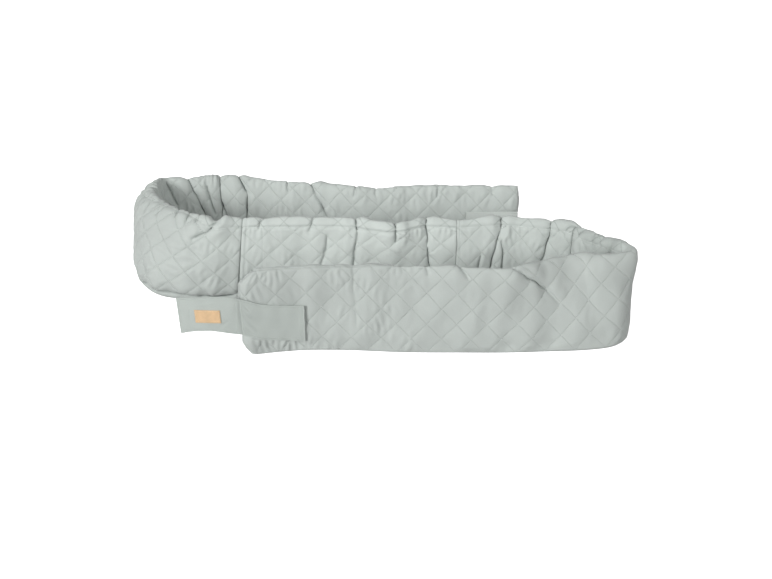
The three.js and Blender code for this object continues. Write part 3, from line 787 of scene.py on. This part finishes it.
class Sheet:
    """A thin sewn sheet that follows the wall."""

    def __init__(self, outline, panel_end, thick, clear, seed, folds=(), under=None):
        self.outline = np.array(outline) + [panel_end, 0, 0]
        self.thick = thick
        self.clear = clear
        self.folds = folds
        self.under = under
        random = np.random.default_rng(seed)
        angles = random.uniform(0, math.pi, WAVES)
        lengths = random.uniform(*WAVE_LENGTHS, WAVES)
        self.waves = [
            (math.cos(angle) * 2 * math.pi / length, math.sin(angle) * 2 * math.pi / length, phase)
            for angle, length, phase in zip(angles, lengths, random.uniform(0, 2 * math.pi, WAVES))
        ]

    def edge(self, distance, which):
        """Height of the lower (1) or upper (2) edge, rounded a little at the outline's corners."""
        around = np.asarray(distance)[..., None] + OUTLINE_EVENED
        around = np.interp(around, self.outline[:, 0], self.outline[:, which])
        return around.mean(axis=-1)

    def from_edge(self, distance, height):
        ends = np.minimum(distance - self.outline[0, 0], self.outline[-1, 0] - distance)
        sides = np.minimum(height - self.edge(distance, 1), self.edge(distance, 2) - height)
        return np.minimum(ends, sides)

    def relief(self, distance, height):
        """How far the sheet stands off its plain form."""
        total = np.zeros(np.broadcast(distance, height).shape)
        if self.under:
            return total + self.under.relief(distance, height)
        for along_wave, up_wave, phase in self.waves:
            total = total + WAVE_DEPTH / 2 * np.sin(distance * along_wave + height * up_wave + phase)
        for start, low, end, high, deep, wide in self.folds:
            step = np.array([end - start, high - low])
            away_x, away_z, part = from_line(distance - WALL_END - start, height - low, step)
            fade = np.sqrt(np.clip(4 * part * (1 - part), 0, 1)) * (1 - FOLD_LEAST) + FOLD_LEAST
            total = total - deep * fade * near(np.hypot(away_x, away_z), wide)
        inside = self.from_edge(distance, height)
        return total - STITCH_HOLLOW * near(inside - SEWN_INSIDE, STITCH_HOLLOW_REACH)

    def outer(self, distance, height):
        return sheet_point(distance, height, self.clear + self.thick + self.relief(distance, height))

    def mesh(self, name):
        """Closed mesh: an outer and an inner skin that draw together in the rounded rim."""
        distance = self.outline[0, 0] + rimmed_steps(self.outline[-1, 0] - self.outline[0, 0])
        low, high = self.edge(distance, 1), self.edge(distance, 2)
        up = rimmed_steps(float(np.mean(high - low)))
        height = low[:, None] + up[None, :] / up[-1] * (high - low)[:, None]
        distance = np.broadcast_to(distance[:, None], height.shape)
        round_off = 1 - np.clip(self.from_edge(distance, height) / SHEET_RIM, 0, 1)
        full = RIM_LEAST + (1 - RIM_LEAST) * np.sqrt(1 - round_off**2)
        relief = self.relief(distance, height)
        middle = self.clear + self.thick / 2
        outer = sheet_point(distance, height, middle + self.thick / 2 * full + relief)
        inner = sheet_point(distance, height, middle - self.thick / 2 * full + np.maximum(relief, 0))
        shape = distance.shape
        count = shape[0] * shape[1]
        skin = grid_triangles(shape, np.ones((shape[0] - 1, shape[1] - 1), bool))
        index = np.arange(count).reshape(shape)
        rim = np.concatenate([index[0, :-1], index[:-1, -1], index[-1, :0:-1], index[:0:-1, 0]])
        onward = np.roll(rim, -1)
        sides = np.concatenate(
            [np.stack([rim, rim + count, onward], -1), np.stack([onward, rim + count, onward + count], -1)]
        )
        triangles = np.concatenate([skin, skin[:, ::-1] + count, sides])
        points = np.concatenate([outer.reshape(-1, 3), inner.reshape(-1, 3)])
        uv = np.stack([distance.ravel(), height.ravel()], -1)
        return mesh_object(name, points, triangles, [("cloth", np.tile(uv, (2, 1))[triangles])])

    def seam(self, distance, height):
        """Stitches along a path of distances and heights on the outer skin."""
        tiny = 0.0005
        points = self.outer(distance, height)
        onward = self.outer(distance + tiny, height) - self.outer(distance - tiny, height)
        upward = self.outer(distance, height + tiny) - self.outer(distance, height - tiny)
        return stitches_along(points, unit(np.cross(upward, onward)))

    def rim_seam(self, inside):
        """Stitches all round the sheet at a distance from its edge."""
        start, end = self.outline[0, 0] + inside, self.outline[-1, 0] - inside
        distance = np.linspace(start, end, 200)
        seams = [
            self.seam(distance, self.edge(distance, 1) + inside),
            self.seam(distance, self.edge(distance, 2) - inside),
        ]
        for place in (start, end):
            low, high = self.edge(place, 1) + inside, self.edge(place, 2) - inside
            height = np.linspace(low, high, 60)
            seams.append(self.seam(np.full(60, place), height))
        return [np.concatenate(parts) for parts in zip(*seams)]

    def upright_seam(self, distance):
        low, high = self.edge(distance, 1) + SEWN_INSIDE, self.edge(distance, 2) - SEWN_INSIDE
        return self.seam(np.full(60, distance), np.linspace(low, high, 60))


# ---------------------------------------------------------------- meshes


def mesh_object(name, points, triangles, uv_maps=()):
    """Smooth-shaded object from points and triangles. uv_maps: name and one pair for each corner."""
    mesh = bpy.data.meshes.new(name)
    triangles = np.asarray(triangles, np.int32)
    mesh.vertices.add(len(points))
    mesh.vertices.foreach_set("co", np.asarray(points, np.float32).ravel())
    mesh.loops.add(triangles.size)
    mesh.loops.foreach_set("vertex_index", triangles.ravel())
    mesh.polygons.add(len(triangles))
    mesh.polygons.foreach_set("loop_start", np.arange(0, triangles.size, 3, dtype=np.int32))
    mesh.polygons.foreach_set("use_smooth", np.ones(len(triangles), bool))
    for uv_name, corners in uv_maps:
        layer = mesh.uv_layers.new(name=uv_name)
        layer.data.foreach_set("uv", np.asarray(corners, np.float32).ravel())
    mesh.update(calc_edges=True)
    piece = bpy.data.objects.new(name, mesh)
    bpy.context.scene.collection.objects.link(piece)
    return piece


def grid_triangles(shape, first_way):
    """Two triangles for each cell of a grid; first_way says which cells have their first diagonal."""
    index = np.arange(shape[0] * shape[1]).reshape(shape)
    near_low, near_high = index[:-1, :-1], index[:-1, 1:]
    far_low, far_high = index[1:, :-1], index[1:, 1:]
    first = np.stack([near_low, near_high, far_high, near_low, far_high, far_low], -1)
    second = np.stack([near_low, near_high, far_low, far_low, near_high, far_high], -1)
    return np.where(first_way[..., None], first, second).reshape(-1, 3)


def zipped(low_chain, high_chain, shares_low, shares_high):
    """Triangles between two chains of points that both run from the foot to the crest."""
    triangles = []
    i = j = 0
    while i < len(low_chain) - 1 or j < len(high_chain) - 1:
        take_low = j == len(high_chain) - 1 or (
            i < len(low_chain) - 1 and shares_low[i + 1] <= shares_high[j + 1]
        )
        if take_low:
            triangles.append((low_chain[i], high_chain[j], low_chain[i + 1]))
            i += 1
        else:
            triangles.append((low_chain[i], high_chain[j], high_chain[j + 1]))
            j += 1
    return np.array([t for t in triangles if len(set(t)) == 3])


def panel_object(cloth):
    """The closed mesh of a panel: its cloth, its foot and its two ends."""
    shape = cloth.shape
    index = np.arange(shape[0] * shape[1]).reshape(shape)
    lines = []
    for values in (cloth.rise, cloth.fall):
        whole = (values % 1 == 0) & cloth.stitched
        first = whole[:-1, :-1] & whole[1:, 1:] & (values[:-1, :-1] == values[1:, 1:])
        second = whole[1:, :-1] & whole[:-1, 1:] & (values[1:, :-1] == values[:-1, 1:])
        lines.append((first, second))
    first = lines[0][0] | lines[1][0]
    second = lines[0][1] | lines[1][1]
    checker = (cloth.column[:-1] + cloth.row[:, :-1]) % 2 == 0
    skin = grid_triangles(shape, first | (checker & ~second))
    foot = grid_triangles((shape[0], 2), np.ones((shape[0] - 1, 1), bool))
    foot = np.stack([index[:, -1], index[:, 0]], 1).ravel()[foot]
    cells_a = cloth.cells_a
    shares = cloth.share[0]
    caps = []
    for column, turn in ((0, 1), (-1, -1)):
        chain_a = index[column, : cells_a + 1]
        chain_b = index[column, : cells_a - 1 : -1]
        caps.append(zipped(chain_a, chain_b, shares[: cells_a + 1], shares[: cells_a - 1 : -1])[:, ::turn])
    triangles = np.concatenate([skin, foot, *caps])
    distance = np.broadcast_to(cloth.distance, shape).ravel()
    height = np.broadcast_to(cloth.height, shape).ravel()
    cloth_uv = np.stack([distance, height], -1)[triangles]
    a_counts = np.stack(np.broadcast_arrays(*cloth.quilt_counts(cloth.column, cloth.row, False)), -1)
    b_counts = np.stack(np.broadcast_arrays(*cloth.quilt_counts(cloth.column, cloth.row, True)), -1)
    of_b = (cloth.height > cloth.hem).ravel()[triangles].any(axis=1)
    quilt_uv = np.where(
        of_b[:, None, None],
        b_counts.reshape(-1, 2)[triangles],
        a_counts.reshape(-1, 2)[triangles],
    )
    quilt_uv[len(skin) :] = 0.5
    # Painted shade of creases, folds and inner faces, carried to the material in the 'shade' UV map.
    shade = cloth.shade.ravel()[triangles]
    shade_uv = np.stack([shade, np.zeros_like(shade)], -1)
    uv_maps = [("cloth", cloth_uv), ("quilt", quilt_uv), ("shade", shade_uv)]
    cloth.stitch_lines = lines
    return mesh_object(cloth.panel["name"] + "_quilted", cloth.points.reshape(-1, 3), triangles, uv_maps)


THREAD_HALF = 0.0009         # half width of a stitch, and how far it stands proud of the cloth
THREAD_PROUD = 0.0007
THREAD_FLAT = 0.8            # its height over its half width
THREAD_SHORT = 0.06          # share of its length by which each end of it stays short
THREAD_DIP = 0.3             # how far its ends dip in, as a share of how far it stands proud
TOPSTITCH_PITCH = 0.0034
TOPSTITCH_LENGTH = 0.0026


def stitch_object(name, starts, ends, outward, half_width, proud):
    """Joined thread stitches, each a spindle that dips into the cloth at both ends."""
    onward = ends - starts
    sideways = unit(np.cross(outward, onward)) * half_width
    middle = (starts + ends) / 2 + outward * proud
    points = np.stack(
        [
            starts + THREAD_SHORT * onward - outward * THREAD_DIP * proud,
            middle + sideways,
            middle + outward * half_width * THREAD_FLAT,
            middle - sideways,
            middle - outward * half_width,
            ends - THREAD_SHORT * onward - outward * THREAD_DIP * proud,
        ],
        axis=1,
    )
    points[..., 2] = np.maximum(points[..., 2], 0)
    ring = [(1, 2), (2, 3), (3, 4), (4, 1)]
    one = np.array([(0, b, a) for a, b in ring] + [(5, a, b) for a, b in ring])
    triangles = (np.arange(len(starts)) * 6)[:, None, None] + one
    return mesh_object(name, points.reshape(-1, 3), triangles.reshape(-1, 3))


def quilting_stitches(cloth):
    """One stitch for each step of a stitch line from grid point to grid point."""
    starts, ends, outward = [], [], []
    for first, second in cloth.stitch_lines:
        for mask, start, end in (
            (first, (slice(None, -1), slice(None, -1)), (slice(1, None), slice(1, None))),
            (second, (slice(1, None), slice(None, -1)), (slice(None, -1), slice(1, None))),
        ):
            starts.append(cloth.points[start][mask])
            ends.append(cloth.points[end][mask])
            outward.append(unit(cloth.outward[start][mask] + cloth.outward[end][mask]))
    return [np.concatenate(parts) for parts in (starts, ends, outward)]


def stitches_along(points, outward, pitch=TOPSTITCH_PITCH, length=TOPSTITCH_LENGTH):
    """Starts, ends and outward directions of stitches at an even pitch along a line of points."""
    arc = np.concatenate([[0.0], np.cumsum(np.linalg.norm(np.diff(points, axis=0), axis=1))])
    at = np.arange(pitch, arc[-1] - pitch, pitch)

    def on_line(values, where):
        return np.stack([np.interp(where, arc, values[:, axis]) for axis in range(3)], -1)

    return on_line(points, at), on_line(points, at + length), unit(on_line(outward, at + length / 2))


def between(cloth, one, other, part):
    """Points and outward directions a part of the way from some grid points to others."""
    points = cloth.points[one] * (1 - part) + cloth.points[other] * part
    return points, unit(cloth.outward[one] * (1 - part) + cloth.outward[other] * part)


def upright_line(cloth, place):
    """A line up and over the panel at a distance from its first seam."""
    column = place / (cloth.end - cloth.start) * cloth.panel["cells"][0]
    low = int(column)
    inner = slice(1, -1)
    return between(cloth, (low, inner), (low + 1, inner), column - low)


def hem_line(cloth):
    """The line of the hem's topstitch."""
    rows = np.interp(cloth.hem[:, 0], cloth.height[0], np.arange(cloth.shape[1]))
    low = np.floor(rows).astype(int)
    columns = np.arange(cloth.shape[0])
    return between(cloth, (columns, low), (columns, low + 1), (rows - low)[:, None])


# ---------------------------------------------------------------- materials

CLOTH_SURFACE = {"Roughness": 0.78, "Sheen Weight": 0.25, "Sheen Roughness": 0.5, "Specular IOR Level": 0.3}
LEATHER_SURFACE = {"Roughness": 0.6, "Specular IOR Level": 0.35}
WEAVE_RELIEF = 0.00005
GRAIN_RELIEF = 0.00022
LINE_SPACING = 0.0597        # distance between neighbouring stitch lines
GROOVE_HALF = 0.0010
GROOVE_DEPTH = 0.0002
HOLE_DEPTH = 0.0005
# Colour of the painted shadow in the stitch holes and, less, along the grooves of the stitch lines.
HOLE_SHADE = (0.50, 0.53, 0.51)
# Colour of the painted shadow at the bottom of creases and folds and on shaded inner faces.
CREASE_SHADE = (0.10, 0.13, 0.12)


def feed(tree, made, inputs):
    """Gives inputs of a node their values, or joins them to other nodes' outputs."""
    for key, value in inputs.items():
        if isinstance(value, bpy.types.NodeSocket):
            tree.links.new(value, made.inputs[key])
        else:
            made.inputs[key].default_value = value


def node(tree, kind, inputs, **settings):
    made = tree.nodes.new(kind)
    for key, value in settings.items():
        setattr(made, key, value)
    feed(tree, made, inputs)
    return made


def new_material(name, surface):
    """A material with plain values for its whole surface, its node tree and its shader."""
    material = bpy.data.materials.new(name)
    material.use_nodes = True
    shader = material.node_tree.nodes["Principled BSDF"]
    feed(material.node_tree, shader, surface)
    return material, material.node_tree, shader


def maths(tree, operation, *values):
    """Result of a Math node on numbers or sockets."""
    return node(tree, "ShaderNodeMath", dict(enumerate(values)), operation=operation).outputs[0]


def layer(tree, uv_name):
    return node(tree, "ShaderNodeUVMap", {}, uv_map=uv_name).outputs[0]


def parts_of(tree, vector):
    return node(tree, "ShaderNodeSeparateXYZ", {0: vector}).outputs


def noise(tree, uv, scale, detail):
    return node(tree, "ShaderNodeTexNoise", {"Vector": uv, "Scale": scale, "Detail": detail}).outputs[0]


def shades(tree, value, colour, dark, light):
    """Colour that a value takes from darker to lighter. dark, light: place and share of the colour."""
    ramp = node(tree, "ShaderNodeValToRGB", {0: value})
    for element, (place, share) in zip(ramp.color_ramp.elements, (dark, light)):
        element.position = place
        element.color = [min(c * share, 1) for c in colour] + [1]
    return ramp.outputs[0]


def bump(tree, height, distance, strength):
    inputs = {"Height": height, "Distance": distance, "Strength": strength}
    return node(tree, "ShaderNodeBump", inputs).outputs[0]


def darkened(tree, colour, amount, shade):
    """Colour multiplied by a shade, as far as an amount says."""
    inputs = {"Factor": amount, "A": colour, "B": (*shade, 1)}
    return node(tree, "ShaderNodeMix", inputs, data_type="RGBA", blend_type="MULTIPLY").outputs["Result"]


def stitch_relief(tree):
    """Depth of the groove along the stitch lines, with a hole at each end of a stitch."""
    rise, fall, _ = parts_of(tree, layer(tree, "quilt"))
    depths = []
    for across, onward in ((rise, fall), (fall, rise)):
        away = maths(tree, "PINGPONG", across, 0.5)
        away = maths(tree, "MULTIPLY", away, LINE_SPACING / GROOVE_HALF)
        groove = maths(tree, "MULTIPLY", maths(tree, "MULTIPLY", away, away), -1.0)
        groove = maths(tree, "POWER", math.e, groove)
        wave = maths(tree, "COSINE", maths(tree, "MULTIPLY", onward, math.pi * QUILT_CELLS))
        hole = maths(tree, "MULTIPLY_ADD", wave, HOLE_DEPTH / 2, GROOVE_DEPTH + HOLE_DEPTH / 2)
        depths.append(maths(tree, "MULTIPLY", groove, hole))
    return maths(tree, "MAXIMUM", *depths)


def cloth_material(name, colour, thread_pitch, quilted):
    """Woven cloth: fine weave and mottled colour, holes and a groove along quilted stitch lines, and
    painted shade there and in creases.
    """
    material, tree, shader = new_material(name, CLOTH_SURFACE)
    uv = layer(tree, "cloth")
    turns = 2 * math.pi / thread_pitch
    warp, weft = (maths(tree, "SINE", maths(tree, "MULTIPLY", at, turns)) for at in parts_of(tree, uv)[:2])
    weave = maths(tree, "MULTIPLY", warp, weft)
    grain = noise(tree, uv, 420, 3)
    mottle = noise(tree, uv, 14, 4)
    tint = maths(tree, "ADD", maths(tree, "MULTIPLY", grain, 0.5), maths(tree, "MULTIPLY", mottle, 0.5))
    tinted = shades(tree, tint, colour, (0.25, 0.90), (0.75, 1.08))
    relief = maths(
        tree, "ADD",
        maths(tree, "MULTIPLY", weave, WEAVE_RELIEF),
        maths(tree, "MULTIPLY", grain, GRAIN_RELIEF),
    )
    if quilted:
        depth = stitch_relief(tree)
        relief = maths(tree, "SUBTRACT", relief, depth)
        # Painted shadow: the cloth is darkened in the stitch holes and grooves, as far as they are deep.
        in_hole = maths(tree, "DIVIDE", depth, GROOVE_DEPTH + HOLE_DEPTH)
        tinted = darkened(tree, tinted, in_hole, HOLE_SHADE)
        # Painted shade along creases, folds and shaded inner faces, from the 'shade' UV map.
        tinted = darkened(tree, tinted, parts_of(tree, layer(tree, "shade"))[0], CREASE_SHADE)
    feed(tree, shader, {"Base Color": tinted, "Normal": bump(tree, relief, 1, 0.7)})
    return material


def leather_material(name, colour):
    """Smooth leather with a fine grain and slightly uneven colour."""
    material, tree, shader = new_material(name, LEATHER_SURFACE)
    uv = layer(tree, "cloth")
    grain = node(tree, "ShaderNodeTexVoronoi", {"Vector": uv, "Scale": 1400}).outputs["Distance"]
    tinted = shades(tree, noise(tree, uv, 60, 4), colour, (0.3, 0.92), (0.7, 1.07))
    feed(tree, shader, {"Base Color": tinted, "Normal": bump(tree, grain, 0.00012, 0.6)})
    return material


def plain_material(name, colour):
    return new_material(name, {"Base Color": (*colour, 1), "Roughness": 0.6})[0]


CLOTH_COLOUR = (0.480, 0.518, 0.494)
THREAD_COLOUR = (0.74, 0.78, 0.755)
STRAP_THREAD_COLOUR = (0.56, 0.60, 0.57)
STRAP_COLOUR = (0.460, 0.503, 0.474)
PATCH_COLOUR = (0.560, 0.600, 0.572)
LEATHER_COLOUR = (0.69, 0.475, 0.275)
LABEL_THREAD_COLOUR = (0.86, 0.72, 0.52)
quilted_cloth = cloth_material("quilted_cotton", CLOTH_COLOUR, 0.0006, True)
woven_cloth = cloth_material("woven_cotton", STRAP_COLOUR, 0.0009, False)
patch_cloth = cloth_material("patch_cotton", PATCH_COLOUR, 0.0009, False)
leather = leather_material("leather", LEATHER_COLOUR)
thread = plain_material("thread", THREAD_COLOUR)
strap_thread = plain_material("strap_thread", STRAP_THREAD_COLOUR)
label_thread = plain_material("label_thread", LABEL_THREAD_COLOUR)


# ---------------------------------------------------------------- the panels

SETTLING_STEPS = 260


def add_stitches(name, starts, ends, outward, slot_name, material=thread):
    stitches = stitch_object(name, starts, ends, outward, THREAD_HALF, THREAD_PROUD)
    stitches.data.materials.append(material)
    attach(stitches, "root")
    return stitches


ON_STRAP = SHEET_CLEAR + SHEET_THICK + LABEL_CLEAR
strap = Sheet(STRAP_OUTLINE, WALL_END, SHEET_THICK, SHEET_CLEAR, 21, STRAP_FOLDS)
patch = Sheet(PATCH_OUTLINE, 0, SHEET_THICK, SHEET_CLEAR, 22)
label = Sheet(LABEL_OUTLINE, WALL_END, LABEL_THICK, ON_STRAP, 23, under=strap)

for number, panel in enumerate(PANELS):
    cloth = Cloth(panel, number + 1, (strap, patch)).settle(SETTLING_STEPS)
    piece = panel_object(cloth)
    piece.data.materials.append(quilted_cloth)
    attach(piece, "root")
    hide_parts(panel["name"])
    rows = [quilting_stitches(cloth), stitches_along(*hem_line(cloth))]
    rows += [stitches_along(*upright_line(cloth, place)) for place in panel.get("rows", ())]
    both = [np.concatenate(parts) for parts in zip(*rows)]
    add_stitches(panel["name"] + "_stitches", *both, "quilted_cloth")


# ---------------------------------------------------------------- the sewn sheets


def add_sheet(sheet, name, node_name, material, slot_name, seams, thread_material):
    piece = sheet.mesh(name)
    piece.data.materials.append(material)
    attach(piece, "root")
    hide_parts(node_name)
    both = [np.concatenate(parts) for parts in zip(*seams)]
    stitches = add_stitches(name + "_stitches", *both, slot_name, thread_material)
    distance = np.linspace(sheet.outline[0, 0], sheet.outline[-1, 0], 400)
    wide = sheet.edge(distance, 2) - sheet.edge(distance, 1)
    return piece


strap_seams = [strap.rim_seam(SEWN_INSIDE)]
strap_seams += [strap.upright_seam(WALL_END + place) for place in STRAP_ROWS]
add_sheet(
    strap, "strap_cloth", "closure_strap", woven_cloth, "strap_cloth", strap_seams,
    strap_thread,
)
add_sheet(
    patch, "patch_cloth", "closure_patch", patch_cloth, "strap_cloth", [patch.rim_seam(SEWN_INSIDE)],
    strap_thread,
)
add_sheet(
    label, "label_leather", "label", leather, "label_leather", [label.rim_seam(LABEL_SEWN_INSIDE)],
    label_thread,
)

# ---------------------------------------------------------------- floor, light and camera


FLOOR_DROP = 0.0006          # keeps the floor just clear of the foot
floor = mesh_object(
    "floor",
    [(-9, -7, 0), (9, -7, 0), (9, 11, 0), (-9, 11, 0)],
    [(0, 1, 2), (0, 2, 3)],
)
floor.location.z = -FLOOR_DROP
FLOOR_SURFACE = {
    "Base Color": (0.94, 0.94, 0.94, 1),
    "Roughness": 0.9,
    "Emission Color": (1, 1, 1, 1),
    "Emission Strength": 0.9,
}
floor.data.materials.append(new_material("floor_white", FLOOR_SURFACE)[0])
floor.visible_diffuse = False   # a lit floor under the nest would leave its inner faces too dark

# Soft studio light from all round, a little stronger from above than from below.
WORLD_ABOVE = 0.32
WORLD_BELOW = 0.26
world = bpy.data.worlds.new("studio")
world.use_nodes = True
sky = world.node_tree
upward = parts_of(sky, node(sky, "ShaderNodeTexCoord", {}).outputs["Generated"])[2]
WORLD_RANGE = {"From Min": -0.15, "From Max": 0.15, "To Min": WORLD_BELOW, "To Max": WORLD_ABOVE}
strength = node(sky, "ShaderNodeMapRange", {"Value": upward, **WORLD_RANGE}).outputs[0]
feed(sky, sky.nodes["Background"], {"Color": (1, 1, 1, 1), "Strength": strength})
bpy.context.scene.world = world
bpy.context.scene.view_settings.view_transform = "Standard"
bpy.context.scene.view_settings.look = "None"


def soft_light(name, azimuth, elevation, energy):
    """Broad distant light; azimuth is in degrees to the right of the camera's side."""
    light = bpy.data.lights.new(name, "SUN")
    light.energy = energy
    light.angle = math.radians(24)
    turn, rise = math.radians(azimuth), math.radians(elevation)
    to_light = Vector((math.sin(turn) * math.cos(rise), -math.cos(turn) * math.cos(rise), math.sin(rise)))
    lamp = bpy.data.objects.new(name, light)
    lamp.rotation_euler = (-to_light).to_track_quat("-Z", "Y").to_euler()
    bpy.context.scene.collection.objects.link(lamp)


soft_light("key", -45, 21, 2.32)
soft_light("fill", 30, 23, 0.8)

# A soft strip behind the front run gives the middle run the light that the front run keeps from it.
STRIP_ENERGY = 0.36
strip_light = bpy.data.lights.new("strip", "AREA")
strip_light.shape = "RECTANGLE"
strip_light.size = 0.9
strip_light.size_y = 0.12
strip_light.energy = STRIP_ENERGY
strip_lamp = bpy.data.objects.new("strip", strip_light)
strip_lamp.location = (-0.06, -0.27, 0.31)
strip_lamp.rotation_euler = Vector((0, -1, 0.3)).to_track_quat("Z", "Y").to_euler()
strip_lamp.visible_camera = False
bpy.context.scene.collection.objects.link(strip_lamp)

# Focal length, and height of the target above the picture's centre, as shares of the picture's width.
FOCAL_LENGTH = 1.2772
TARGET_ABOVE_CENTRE = 0.03562
CAMERA_DISTANCE = 2.942
ELEVATION = math.radians(24)
target = Vector((-ORIGIN[0], -ORIGIN[1], WALL_HEIGHT / 2))
lens = bpy.data.cameras.new("camera")
lens.sensor_width = 36
lens.lens = FOCAL_LENGTH * lens.sensor_width
lens.shift_y = -TARGET_ABOVE_CENTRE
camera = bpy.data.objects.new("camera", lens)
toward_camera = Vector((0, -math.cos(ELEVATION), math.sin(ELEVATION)))
camera.location = target + toward_camera * CAMERA_DISTANCE
camera.rotation_euler = (-toward_camera).to_track_quat("-Z", "Y").to_euler()
bpy.context.scene.collection.objects.link(camera)
bpy.context.scene.camera = camera


bpy.context.view_layer.update()
